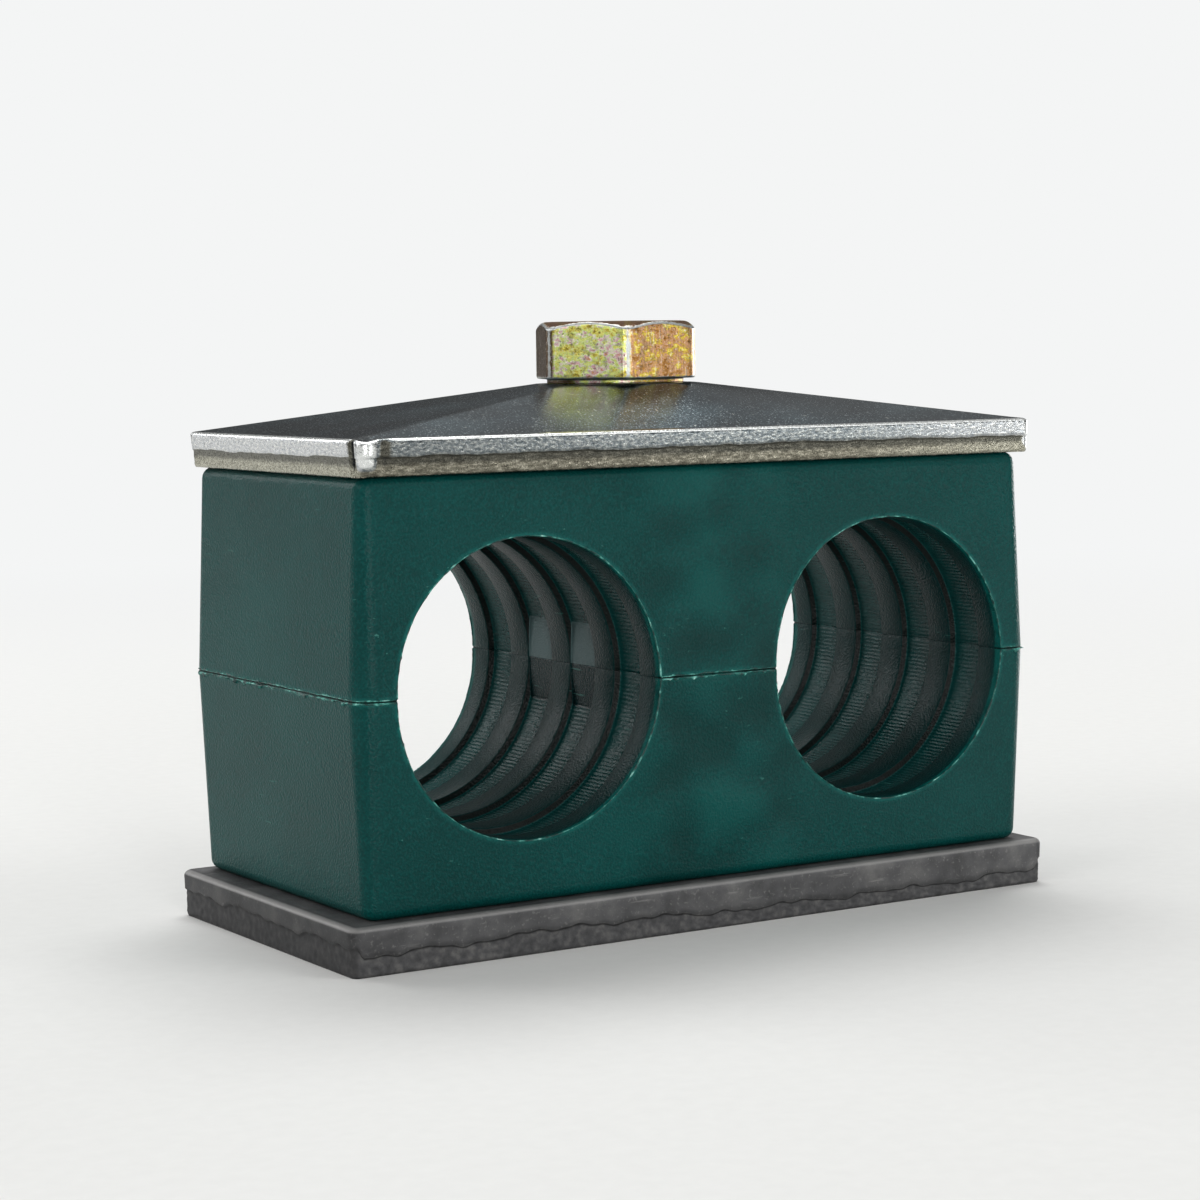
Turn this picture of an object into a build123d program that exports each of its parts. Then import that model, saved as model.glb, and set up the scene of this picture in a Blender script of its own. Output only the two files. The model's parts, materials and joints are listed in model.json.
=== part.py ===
from build123d import *
from math import radians, tan
import os

# Twin tube clamp for two parallel hydraulic tubes, as it stands bolted together on its weld
# plate.  A threaded nut is welded to a flat steel plate.  Two identical plastic halves close
# round the tubes, a dished steel cover plate spreads the load, and one hexagon bolt pulls the
# whole stack down.
#
# Frame: origin at the centre of the weld plate's underside, +X along the row of tubes, +Y
# along the tubes and +Z up along the bolt.  All lengths are in millimetres.

# Tubes
TUBE_DIAMETER = 25.0          # outside diameter of each tube
TUBE_SPACING = 36.0           # between the axes of the two tubes

# Clamp halves
BODY_LENGTH = 67.0            # along X, at the split
BODY_DEPTH = 31.0             # along Y, at the split
HALF_HEIGHT = 17.3            # from the split to the outer face
DRAFT_ANGLE = 2.3             # degrees, the moulded walls lean in away from the split
CORNER_RADIUS = 1.9           # of the upright corners, at the split
OUTER_EDGE_RADIUS = 1.0       # round the outer face

# Bores and the grip grooves inside them
GRIP_SQUEEZE = 0.8            # closed bores are this much narrower than the tube they grip
GROOVE_COUNT = 4
GROOVE_PITCH = 7.0
GROOVE_WIDTH = 4.0            # at the bore wall
GROOVE_DEPTH = 0.6
GROOVE_WALL_ANGLE = 20.0      # degrees, lean of a groove's side walls
WEB_PANEL_SETBACK = 0.12      # behind the bore wall, of the flats that fill a groove at the web
LEAD_IN_LENGTH = 1.2          # of the widened mouth at each end of a bore
LEAD_IN_DEPTH = 0.1

# Bolt
THREAD_DIAMETER = 8.0
BOLT_END_HEIGHT = 0.2         # of the bolt's end, above the weld plate's underside
BOLT_END_CHAMFER = 0.8
HEAD_ACROSS_FLATS = 12.9
HEAD_ACROSS_CORNERS = 14.4    # over the corners as forging leaves them, slightly rounded
HEAD_HEIGHT = 5.3             # with its washer face
HEAD_BEVEL_ANGLE = 30.0       # degrees, of the bevel round the top of the head
HEAD_TURN = 6.6               # degrees from +X to a corner of the head
WASHER_FACE_DIAMETER = 11.8
WASHER_FACE_HEIGHT = 0.4

# Holes and the nut that the bolt passes through
BOLT_CLEARANCE = 0.5          # all round the bolt, in the plate, halves and cover
THREAD_CLEARANCE = 0.05       # all round the bolt, in the nut's plain bore
NUT_ACROSS_FLATS = 13.0
NUT_ACROSS_CORNERS = 14.6
NUT_HEIGHT = 6.5
NUT_BEVEL_ANGLE = 30.0        # degrees, of the bevel round the top of the nut
NUT_THREAD_BEVEL = 0.5        # countersink at both ends of the nut's bore
NUT_POCKET_CLEARANCE = 0.6    # all round the nut and above it

# Weld plate
WELD_PLATE_LENGTH = 69.6
WELD_PLATE_DEPTH = 32.0
WELD_PLATE_THICKNESS = 4.0
WELD_PLATE_CORNER_RADIUS = 0.6
WELD_PLATE_ROLLOVER = 0.5     # rounding of the upper edges that shearing leaves

# Cover plate
COVER_OVERHANG = 0.0          # beyond the halves at the split, on every side
COVER_THICKNESS = 3.0
COVER_RISE = 3.6              # from the rim up to the seat under the bolt's head
COVER_SEAT_DIAMETER = 14.0    # flat that the bolt's head bears on
COVER_RIM_WIDTH = 2.4         # flat underside that rests on the upper half
COVER_HOLLOW_TOP = 11.0       # side of the flat top of the hollow, under the seat
COVER_CORNER_RADIUS = 1.2

# Heights and sizes that follow from the sizes above
SPLIT_HEIGHT = WELD_PLATE_THICKNESS + HALF_HEIGHT
COVER_BASE_HEIGHT = SPLIT_HEIGHT + HALF_HEIGHT
HEAD_SEAT_HEIGHT = COVER_BASE_HEIGHT + COVER_THICKNESS + COVER_RISE
COVER_LENGTH = BODY_LENGTH + 2 * COVER_OVERHANG
COVER_DEPTH = BODY_DEPTH + 2 * COVER_OVERHANG
BOLT_LENGTH = HEAD_SEAT_HEIGHT - BOLT_END_HEIGHT
BORE_RADIUS = (TUBE_DIAMETER - GRIP_SQUEEZE) / 2
BOLT_RADIUS = THREAD_DIAMETER / 2
BOLT_HOLE_RADIUS = BOLT_RADIUS + BOLT_CLEARANCE
BEVEL_FLAT_SHARE = 0.95       # of the across-flats size, the flat circle inside a bevel
SPARE = 2.0                   # how far a cutting tool stands out of what it cuts


def hexagon(across_flats, turn):
    """Regular hexagon with one corner TURN degrees from +X."""
    return RegularPolygon(across_flats / 2, 6, major_radius=False, rotation=turn)


def bevelled_hexagon(across_flats, across_corners, height, bevel_angle, turn=0.0):
    """Upright hexagonal prism on Z = 0 with rounded corners, its top turned off to a cone."""
    corner_radius = across_corners / 2
    flat_radius = BEVEL_FLAT_SHARE * across_flats / 2
    drop = (corner_radius - flat_radius) * tan(radians(bevel_angle))
    prism = extrude(hexagon(across_flats, turn), height)
    outline = Polyline(
        (0, 0), (corner_radius, 0), (corner_radius, height - drop),
        (flat_radius, height), (0, height), (0, 0),
    )
    turned = revolve(Plane.XZ * make_face(outline), Axis.Z)
    return prism & turned


def groove_tool(centre):
    """Ring that cuts one trapezoid groove round the bore, at Y = CENTRE."""
    reach = GROOVE_WIDTH / 2
    floor_reach = reach - GROOVE_DEPTH * tan(radians(GROOVE_WALL_ANGLE))
    floor_radius = BORE_RADIUS + GROOVE_DEPTH
    inner_radius = BORE_RADIUS - SPARE
    outline = Polyline(
        (inner_radius, centre - reach), (BORE_RADIUS, centre - reach),
        (floor_radius, centre - floor_reach), (floor_radius, centre + floor_reach),
        (BORE_RADIUS, centre + reach), (inner_radius, centre + reach),
        (inner_radius, centre - reach),
    )
    return revolve(make_face(outline), Axis.Y)


def web_panel_tool(centre):
    """Block that keeps a groove from the thin web beside the bolt hole, on the bore's -X side."""
    panel_face = -(BORE_RADIUS + WEB_PANEL_SETBACK)
    block = Box(SPARE, GROOVE_WIDTH, TUBE_DIAMETER, align=(Align.MAX, Align.CENTER, Align.CENTER))
    return Pos(panel_face, centre, 0) * block


def lead_in_tool():
    """Shallow cone that widens the bore's mouth at its +Y end."""
    mouth = BODY_DEPTH / 2
    outline = Polyline(
        (0, mouth - LEAD_IN_LENGTH), (BORE_RADIUS, mouth - LEAD_IN_LENGTH),
        (BORE_RADIUS + LEAD_IN_DEPTH, mouth), (BORE_RADIUS + LEAD_IN_DEPTH, mouth + SPARE),
        (0, mouth + SPARE), (0, mouth - LEAD_IN_LENGTH),
    )
    return revolve(make_face(outline), Axis.Y)


def bore_tool():
    """The tube's bore with its grip grooves, about the Y axis, web towards -X."""
    tool = Rot(90, 0, 0) * Cylinder(BORE_RADIUS, BODY_DEPTH + 2 * SPARE)
    for number in range(GROOVE_COUNT):
        centre = (number - (GROOVE_COUNT - 1) / 2) * GROOVE_PITCH
        groove = groove_tool(centre)
        if abs(centre) < BOLT_HOLE_RADIUS:
            groove -= web_panel_tool(centre)
        tool += groove
    mouth = lead_in_tool()
    return tool + mouth + mirror(mouth, about=Plane.XZ)


def clamp_half():
    """One moulded half with its split face on Z = 0 and its outer face upwards."""
    outline = RectangleRounded(BODY_LENGTH, BODY_DEPTH, CORNER_RADIUS)
    half = extrude(outline, HALF_HEIGHT, taper=DRAFT_ANGLE)
    outer_face = half.faces().sort_by(Axis.Z)[-1]
    half = fillet(outer_face.edges(), OUTER_EDGE_RADIUS)
    bore = Pos(TUBE_SPACING / 2, 0, 0) * bore_tool()
    half -= bore
    half -= mirror(bore, about=Plane.YZ)
    half -= Cylinder(BOLT_HOLE_RADIUS, 2 * (HALF_HEIGHT + SPARE))
    pocket_radius = NUT_ACROSS_CORNERS / 2 + NUT_POCKET_CLEARANCE
    pocket_depth = NUT_HEIGHT + NUT_POCKET_CLEARANCE
    pocket = Cylinder(
        pocket_radius, pocket_depth + SPARE, align=(Align.CENTER, Align.CENTER, Align.MIN)
    )
    return half - Pos(0, 0, HALF_HEIGHT - pocket_depth) * pocket


def weld_plate():
    """Sheared steel plate with a clearance hole for the end of the bolt."""
    outline = RectangleRounded(WELD_PLATE_LENGTH, WELD_PLATE_DEPTH, WELD_PLATE_CORNER_RADIUS)
    plate = extrude(outline, WELD_PLATE_THICKNESS)
    top = plate.faces().sort_by(Axis.Z)[-1]
    plate = fillet(top.edges(), WELD_PLATE_ROLLOVER)
    return plate - Cylinder(BOLT_HOLE_RADIUS, 2 * (WELD_PLATE_THICKNESS + SPARE))


def weld_nut():
    """Hexagon nut that stands on the weld plate, with a countersunk plain bore."""
    nut = bevelled_hexagon(NUT_ACROSS_FLATS, NUT_ACROSS_CORNERS, NUT_HEIGHT, NUT_BEVEL_ANGLE)
    bore_radius = BOLT_RADIUS + THREAD_CLEARANCE
    mouth_radius = bore_radius + NUT_THREAD_BEVEL
    outline = Polyline(
        (0, 0), (mouth_radius, 0), (bore_radius, NUT_THREAD_BEVEL),
        (bore_radius, NUT_HEIGHT - NUT_THREAD_BEVEL), (mouth_radius, NUT_HEIGHT),
        (0, NUT_HEIGHT), (0, 0),
    )
    bore = revolve(Plane.XZ * make_face(outline), Axis.Z)
    return Pos(0, 0, WELD_PLATE_THICKNESS) * (nut - bore)


def cover_plate():
    """Pressed plate that rises evenly from its straight rim to a round flat seat for the bolt.

    The hollow under it is a flat-sided frustum, so the rim's underside is a flat frame.
    """
    full_height = COVER_THICKNESS + COVER_RISE
    rim = Rectangle(COVER_LENGTH, COVER_DEPTH)
    seat = Pos(0, 0, COVER_RISE) * Circle(COVER_SEAT_DIAMETER / 2)
    crown = loft([rim, seat], ruled=True)
    plate = extrude(rim, COVER_THICKNESS) + Pos(0, 0, COVER_THICKNESS) * crown
    outline = RectangleRounded(COVER_LENGTH, COVER_DEPTH, COVER_CORNER_RADIUS)
    plate &= extrude(outline, full_height)
    hollow_foot = Rectangle(COVER_LENGTH - 2 * COVER_RIM_WIDTH, COVER_DEPTH - 2 * COVER_RIM_WIDTH)
    hollow_top = Pos(0, 0, COVER_RISE) * Rectangle(COVER_HOLLOW_TOP, COVER_HOLLOW_TOP)
    plate -= loft([hollow_foot, hollow_top], ruled=True)
    plate -= Cylinder(BOLT_HOLE_RADIUS, 2 * (full_height + SPARE))
    return Pos(0, 0, COVER_BASE_HEIGHT) * plate


def hex_bolt():
    """Hexagon bolt: bevelled head on a round washer face, and a plain full-size shank."""
    head = bevelled_hexagon(
        HEAD_ACROSS_FLATS, HEAD_ACROSS_CORNERS, HEAD_HEIGHT - WASHER_FACE_HEIGHT,
        HEAD_BEVEL_ANGLE, HEAD_TURN,
    )
    washer_face = Cylinder(
        WASHER_FACE_DIAMETER / 2, WASHER_FACE_HEIGHT,
        align=(Align.CENTER, Align.CENTER, Align.MIN),
    )
    shank = Cylinder(BOLT_RADIUS, BOLT_LENGTH, align=(Align.CENTER, Align.CENTER, Align.MAX))
    shank = chamfer(shank.edges().sort_by(Axis.Z)[0], BOLT_END_CHAMFER)
    bolt = Pos(0, 0, WASHER_FACE_HEIGHT) * head + washer_face + shank
    return Pos(0, 0, HEAD_SEAT_HEIGHT) * bolt


def build():
    """Every piece in its place, by the name of its node."""
    half = clamp_half()
    return {
        "weld_plate": weld_plate(),
        "weld_nut": weld_nut(),
        "lower_clamp_half": Pos(0, 0, SPLIT_HEIGHT) * Rot(180, 0, 0) * half,
        "upper_clamp_half": Pos(0, 0, SPLIT_HEIGHT) * half,
        "cover_plate": cover_plate(),
        "hex_bolt": hex_bolt(),
    }


os.makedirs("parts", exist_ok=True)
for name, piece in build().items():
    export_step(piece, f"parts/{name}.step")
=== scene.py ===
"""Looks of a twin hydraulic tube clamp: moulded green halves, a zinc-plated cover plate, a
yellow zinc-plated bolt and a bare sheared weld plate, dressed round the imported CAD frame.

Every shape is in metres in the frame of the CAD: +X along the row of tubes, +Y along the tubes,
+Z up the bolt.  The pieces' outlines and heights come from the boxes of the frame's own nodes.
"""
import json

import bpy
import numpy as np
from mathutils import Matrix, Vector


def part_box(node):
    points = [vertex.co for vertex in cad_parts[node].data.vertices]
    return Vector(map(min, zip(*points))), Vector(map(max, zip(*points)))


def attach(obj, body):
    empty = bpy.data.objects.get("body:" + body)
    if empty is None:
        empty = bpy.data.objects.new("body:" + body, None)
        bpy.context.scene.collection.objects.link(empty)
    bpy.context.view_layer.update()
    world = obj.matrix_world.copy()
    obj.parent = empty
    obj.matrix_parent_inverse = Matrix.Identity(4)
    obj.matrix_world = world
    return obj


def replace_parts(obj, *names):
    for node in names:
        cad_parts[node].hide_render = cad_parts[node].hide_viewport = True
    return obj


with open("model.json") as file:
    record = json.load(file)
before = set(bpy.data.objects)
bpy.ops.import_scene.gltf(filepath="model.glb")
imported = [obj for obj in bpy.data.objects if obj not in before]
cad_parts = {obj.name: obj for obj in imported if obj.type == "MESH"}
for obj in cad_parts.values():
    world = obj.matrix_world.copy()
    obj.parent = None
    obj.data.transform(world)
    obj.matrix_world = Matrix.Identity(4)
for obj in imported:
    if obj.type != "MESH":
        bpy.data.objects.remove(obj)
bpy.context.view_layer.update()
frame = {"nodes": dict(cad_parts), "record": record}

MM = 0.001

# ---------------------------------------------------------------- sizes, from the CAD frame
# What the frame doesn't tell is the same as in the solids.

PLATE_LOW, PLATE_HIGH = (np.array(corner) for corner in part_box("weld_plate"))
UPPER_LOW, UPPER_HIGH = (np.array(corner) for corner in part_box("upper_clamp_half"))
COVER_LOW, COVER_HIGH = (np.array(corner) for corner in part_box("cover_plate"))
BOLT_LOW, BOLT_HIGH = (np.array(corner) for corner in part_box("hex_bolt"))
BORE_MOUNTS = {m["name"]: m for m in frame["record"]["mounts"] if m["kind"] == "clamp"}

SPLIT = UPPER_LOW[2]
BORE_RADIUS = BORE_MOUNTS["left_tube_bore"]["dims"]["r_mm"] * MM
BORE_X = BORE_MOUNTS["right_tube_bore"]["pos_m"][0]
MOUTH_RADIUS = BORE_RADIUS + 0.1 * MM      # the bore's mouth opens by this lead-in
GROOVE_FLOOR = BORE_RADIUS + 0.5 * MM      # everything past this is a groove's floor
HALF_CORNER = 1.9 * MM
DRAFT = np.tan(np.radians(2.3))            # lean of the moulded walls away from the split
BOLT_HOLE_RADIUS = 4.5 * MM
BOLT_RADIUS = 4.0 * MM
PLATE_STEP = 0.22 * MM                     # spacing of the plates' points along their edges


# ---------------------------------------------------------------- small tools

def colour(text):
    """Linear RGBA of an sRGB hex colour, such as "#4a6b5c"."""
    srgb = np.array([int(text[i:i + 2], 16) for i in (1, 3, 5)]) / 255
    linear = np.where(srgb <= 0.04045, srgb / 12.92, ((srgb + 0.055) / 1.055) ** 2.4)
    return (*linear.tolist(), 1.0)


def waves(along, counts, seed, roughness=1.0):
    """Smooth wandering from -1 to 1: a sum of cosines of ALONG (one lap is 2 pi) with whole
    COUNTS of waves, so it closes on itself, each smaller by COUNT ** ROUGHNESS."""
    draw = np.random.default_rng(seed)
    total = np.zeros(np.shape(along))
    weight = 0.0
    for count in counts:
        size = count ** -roughness
        total = total + size * np.cos(count * along + draw.uniform(0, 2 * np.pi))
        weight += size
    return total / (0.6 * weight)


def soft_profile(corners, reach, steps=4):
    """Section through CORNERS (count, columns, 2) whose inner corners are rounded: each is a
    quadratic curve that starts and ends REACH from the corner.  The ends stay as they are."""
    rows = [corners[0]]
    t = np.linspace(0, 1, steps)[:, None, None]
    for index in range(1, len(corners) - 1):
        before, here, after = corners[index - 1], corners[index], corners[index + 1]
        back, ahead = before - here, after - here
        length_back = np.linalg.norm(back, axis=1, keepdims=True)
        length_ahead = np.linalg.norm(ahead, axis=1, keepdims=True)
        start = here + back * np.minimum(reach[index] / length_back, 0.45)
        end = here + ahead * np.minimum(reach[index] / length_ahead, 0.45)
        rows.extend((1 - t) ** 2 * start + 2 * t * (1 - t) * here + t ** 2 * end)
    rows.append(corners[-1])
    return np.array(rows)


def rounded_outline(half_x, half_y, radius, step):
    """Points and outward directions round a rounded rectangle, anticlockwise from the middle
    of its +X side: straight runs at about STEP, and quarter circles of RADIUS."""
    points, normals = [], []
    corner_steps = 10
    for turn, run in enumerate((half_y, half_x, half_y, half_x)):
        out = np.array([np.cos(turn * np.pi / 2), np.sin(turn * np.pi / 2)])
        ahead = np.array([-out[1], out[0]])
        reach = half_x if turn % 2 == 0 else half_y
        count = int(np.ceil(2 * (run - radius) / step))
        t = np.linspace(-(run - radius), run - radius, count, endpoint=False)
        points.append(out * reach + t[:, None] * ahead)
        normals.append(np.repeat(out[None], count, 0))
        angle = np.linspace(0, np.pi / 2, corner_steps, endpoint=False)
        arc = np.cos(angle)[:, None] * out + np.sin(angle)[:, None] * ahead
        points.append(out * (reach - radius) + ahead * (run - radius) + radius * arc)
        normals.append(arc)
    return np.concatenate(points), np.concatenate(normals)


def grid(points, closed_rows=False, capped=False, first=0):
    """Vertices, and faces that count them from FIRST, of a grid of POINTS (rows, columns, 3)
    whose columns close into a ring.  Its rows close too, or its first and last rings are each
    CAPPED by a fan to their middle."""
    rows, columns = points.shape[:2]
    vertices = points.reshape(-1, 3)
    row = np.arange(rows if closed_rows else rows - 1)[:, None]
    column = np.arange(columns)[None]
    below, beside = (row + 1) % rows, (column + 1) % columns
    quads = np.stack([
        row * columns + column, below * columns + column,
        below * columns + beside, row * columns + beside,
    ], -1).reshape(-1, 4)
    faces = (quads + first).tolist()
    if capped:
        ring, after = column[0], beside[0]
        middle, base = len(vertices), (rows - 1) * columns
        vertices = np.vstack([vertices, points[0].mean(0), points[-1].mean(0)])
        start = np.stack([np.full(columns, middle), ring, after], -1)
        end = np.stack([np.full(columns, middle + 1), base + after, base + ring], -1)
        faces += (np.concatenate([start, end]) + first).tolist()
    return vertices, faces


def mesh_object(name, vertices, faces, **attributes):
    """A smooth-shaded object of VERTICES and FACES at the origin, with a number per vertex for
    each of ATTRIBUTES."""
    mesh = bpy.data.meshes.new(name)
    mesh.from_pydata(vertices.tolist(), [], faces)
    mesh.polygons.foreach_set("use_smooth", np.ones(len(faces), bool))
    for key, value in attributes.items():
        layer = mesh.attributes.new(key, "FLOAT", "POINT")
        layer.data.foreach_set("value", np.asarray(value, np.float32).ravel())
    mesh.update()
    made = bpy.data.objects.new(name, mesh)
    bpy.context.scene.collection.objects.link(made)
    return made


# plain words for the nodes that come back often: their kind and settings
KINDS = {
    "sum": ("ShaderNodeMath", {"operation": "ADD"}),
    "difference": ("ShaderNodeMath", {"operation": "SUBTRACT"}),
    "product": ("ShaderNodeMath", {"operation": "MULTIPLY"}),
    "product_and_sum": ("ShaderNodeMath", {"operation": "MULTIPLY_ADD"}),
    "larger": ("ShaderNodeMath", {"operation": "MAXIMUM"}),
    "size": ("ShaderNodeMath", {"operation": "ABSOLUTE"}),
    "root": ("ShaderNodeMath", {"operation": "SQRT"}),
    "sine": ("ShaderNodeMath", {"operation": "SINE"}),
    "angle": ("ShaderNodeMath", {"operation": "ARCTAN2"}),
    "dot": ("ShaderNodeVectorMath", {"operation": "DOT_PRODUCT"}),
    "length": ("ShaderNodeVectorMath", {"operation": "LENGTH"}),
    "axes": ("ShaderNodeSeparateXYZ", {}),
    "mix": ("ShaderNodeMix", {"data_type": "RGBA"}),
    "ramp": ("ShaderNodeValToRGB", {}),
    # value, low, high, low result, high result: straight, or smooth from 0 to 1
    "range": ("ShaderNodeMapRange", {}),
    "band": ("ShaderNodeMapRange", {"interpolation_type": "SMOOTHSTEP"}),
}


def add(tree, kind, *values, out=None, stops=(), **settings):
    """Adds a node of KIND with its SETTINGS, and a colour ramp's STOPS, and gives its output OUT
    or else the first.  VALUES go to its open inputs in order, or one dictionary goes to inputs
    by name: each value is a number, a hex colour or the output that is linked there."""
    kind, usual = KINDS.get(kind, (kind, {}))
    node = tree.nodes.new(kind)
    for key, value in {**usual, **settings}.items():
        setattr(node, key, value)
    if stops:
        elements = node.color_ramp.elements
        while len(elements) < len(stops):
            elements.new(0.5)
        for element, (position, text) in zip(elements, stops):
            element.position, element.color = position, colour(text)
    inputs = [socket for socket in node.inputs if socket.enabled]
    named = values[0] if values and isinstance(values[0], dict) else dict(enumerate(values))
    for key, value in named.items():
        socket = node.inputs[key] if isinstance(key, str) else inputs[key]
        if isinstance(value, bpy.types.NodeSocket):
            tree.links.new(value, socket)
        else:
            socket.default_value = colour(value) if isinstance(value, str) else value
    outputs = [socket for socket in node.outputs if socket.enabled]
    return node.outputs[out] if out else next(iter(outputs), None)


def new_material(name):
    """An empty material: its node tree and the Principled shader on its output."""
    made = bpy.data.materials.new(name)
    made.use_nodes = True
    tree = made.node_tree
    tree.nodes.clear()
    surface = add(tree, "ShaderNodeBsdfPrincipled")
    add(tree, "ShaderNodeOutputMaterial", surface)
    return made, tree, surface.node


def coat(obj, material):
    """Puts MATERIAL alone on a piece."""
    obj.data.materials.clear()
    obj.data.materials.append(material)


def dress(obj, material, body):
    """Gives a new piece its finish and its place in the motion."""
    coat(obj, material)
    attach(obj, body)
    return obj


# ---------------------------------------------------------------- patterns for the materials

def coordinates(tree):
    """Object coordinates, and their x, y and z."""
    place = add(tree, "ShaderNodeTexCoord", out="Object")
    return place, *add(tree, "axes", place).node.outputs


def lumps(tree, place, size, detail=3.0, stretch=(1, 1, 1), roughness=0.55):
    """Noise with lumps of about SIZE, longer by STRETCH along each axis."""
    scaled = add(tree, "ShaderNodeMapping", {
        "Vector": place, "Scale": [1 / size / factor for factor in stretch],
    }, vector_type="POINT")
    return add(tree, "ShaderNodeTexNoise", {
        "Vector": scaled, "Scale": 1.0, "Detail": detail, "Roughness": roughness,
    })


def painted(tree, under, paint, amount, mask, *limits):
    """PAINT over UNDER by AMOUNT where MASK is 1 or, with two LIMITS, where MASK has passed
    smoothly from the first to the second."""
    if limits:
        mask = add(tree, "band", mask, *limits)
    return add(tree, "mix", add(tree, "product", mask, amount), under, paint)


def bumped(tree, shader, *layers):
    """Stacks bump layers (height, depth in metres, strength) on the shader's normal."""
    below = {}
    for height, depth, strength in layers:
        below = {"Normal": add(tree, "ShaderNodeBump", {
            "Height": height, "Distance": depth, "Strength": strength, **below,
        })}
    tree.links.new(below["Normal"], shader.inputs["Normal"])


# ---------------------------------------------------------------- materials

def moulded_polypropylene():
    """Green polypropylene, injection moulded in a spark-eroded tool: a satin skin with a fine
    even grain, faint flow clouds and sink marks over the web, with painted highlight and painted
    shade on them.  Inside the bores the skin is darker and smoother, the groove walls carry
    painted shade, and the groove floors keep the axial lines of the tool's core.
    The real grain is under 0.1 mm; it is drawn at 0.2 mm, as coarse as it needs to show."""
    made, tree, shader = new_material("moulded_green_polypropylene")
    place, x, y, z = coordinates(tree)
    grain = lumps(tree, place, 0.20 * MM, 2.0, roughness=0.45)
    coarse = lumps(tree, place, 0.9 * MM)
    skin = add(tree, "mix", lumps(tree, place, 9 * MM), "#00302e", "#014744")
    skin = painted(tree, skin, "#0a6560", 0.16, grain, 0.50, 0.68)
    skin = painted(tree, skin, "#001c1b", 0.2, grain, 0.50, 0.34)

    # zones: within a bore, behind its lead-in, and there on a groove's floor or its wall
    from_middle = add(tree, "size", x)
    from_face = add(tree, "size", y)
    from_axis = add(tree, "difference", from_middle, BORE_X)
    above_split = add(tree, "difference", z, SPLIT)
    from_split = add(tree, "size", above_split)
    radius = add(tree, "root", add(
        tree, "sum", add(tree, "product", from_axis, from_axis),
        add(tree, "product", above_split, above_split),
    ))
    inside = add(
        tree, "product", add(tree, "band", radius, BORE_RADIUS + 0.8 * MM, BORE_RADIUS + 0.7 * MM),
        add(tree, "band", from_face, 14.9 * MM, 14.6 * MM),
    )
    floor = add(tree, "product", inside, add(
        tree, "band", radius, GROOVE_FLOOR - 0.05 * MM, GROOVE_FLOOR + 0.05 * MM))
    wall = add(tree, "product", inside, add(
        tree, "band", radius, BORE_RADIUS + 0.03 * MM, BORE_RADIUS + 0.1 * MM))
    wall = add(tree, "difference", wall, floor)

    # lines that the turned core leaves on the floors, broken up by the noise
    lines_a_turn = 360 / 1.6
    lines = add(tree, "sine", add(
        tree, "product_and_sum", add(tree, "angle", above_split, from_axis), lines_a_turn,
        add(tree, "product", coarse, 3.0),
    ))
    lines = add(tree, "product", lines, floor)

    bore_skin = add(tree, "mix", coarse, "#022221", "#083535")
    bore_skin = add(tree, "mix", floor, bore_skin, add(tree, "mix", coarse, "#093635", "#164d4b"))
    # painted shade: the groove walls are painted near-black
    bore_skin = add(tree, "mix", wall, bore_skin, "#020d0b")
    # the flats that fill the two middle grooves at the web are smooth; above the split they
    # are painted pale, a painted reflection
    off_flat = add(tree, "size", add(tree, "sum", from_axis, BORE_RADIUS + 0.12 * MM))
    middle = add(tree, "product", inside, add(tree, "band", from_face, 5.8 * MM, 5.6 * MM))
    flat = add(tree, "product", middle, add(tree, "band", off_flat, 0.07 * MM, 0.04 * MM))
    upper = add(tree, "band", above_split, -0.05 * MM, 0.05 * MM)
    bore_skin = add(tree, "mix", flat, bore_skin, add(tree, "mix", upper, "#0b2a2b", "#586f70"))

    # paler round the bores' rims and along the parting edge: partly skin rubbed thin, partly a
    # painted edge highlight
    rim = add(tree, "difference", add(
        tree, "band", radius, BORE_RADIUS + 0.55 * MM, BORE_RADIUS + 0.15 * MM), inside)
    parting = add(tree, "band", from_split, 0.5 * MM, 0.1 * MM)
    rubbed = add(
        tree, "product", add(tree, "larger", rim, parting), add(tree, "band", coarse, 0.25, 0.6))
    skin = painted(tree, skin, "#146f68", 0.42, rubbed)
    # painted shade: a near-black line where the two halves meet at the split
    painted_joint_shade = add(tree, "product", add(tree, "band", from_split, 0.10 * MM, 0.05 * MM), 0.85)
    skin = add(tree, "mix", painted_joint_shade, skin, "#000908")
    # broad soft patches of painted highlight and painted shade over the web, for the light on
    # the sink marks where the thick wall sank away from the polished tool
    near_web = add(tree, "product", add(tree, "band", from_middle, 12 * MM, 4 * MM), 0.4)
    hollow = lumps(tree, place, 8 * MM, 1.0, (1.0, 1.0, 0.8))
    for paint, low, high in (("#075752", 0.46, 0.70), ("#001f1d", 0.52, 0.32)):
        skin = painted(tree, skin, paint, add(tree, "band", hollow, low, high), near_web)
    tint = add(tree, "mix", inside, skin, bore_skin)

    # hairline scratches, longest across the end faces, and dust
    hair = lumps(tree, place, 0.35 * MM, 2.0, (2.0, 14.0, 1.0))
    handled = add(tree, "band", lumps(tree, place, 6 * MM, 2.0), 0.52, 0.68)
    scratch = add(tree, "product", add(tree, "band", hair, 0.685, 0.72), handled)
    tint = painted(tree, tint, "#4d8f84", 0.45, scratch)
    tint = painted(tree, tint, "#5f9a90", 0.4, lumps(tree, place, 0.4 * MM, 1.0), 0.81, 0.84)
    tree.links.new(tint, shader.inputs["Base Color"])

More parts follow.
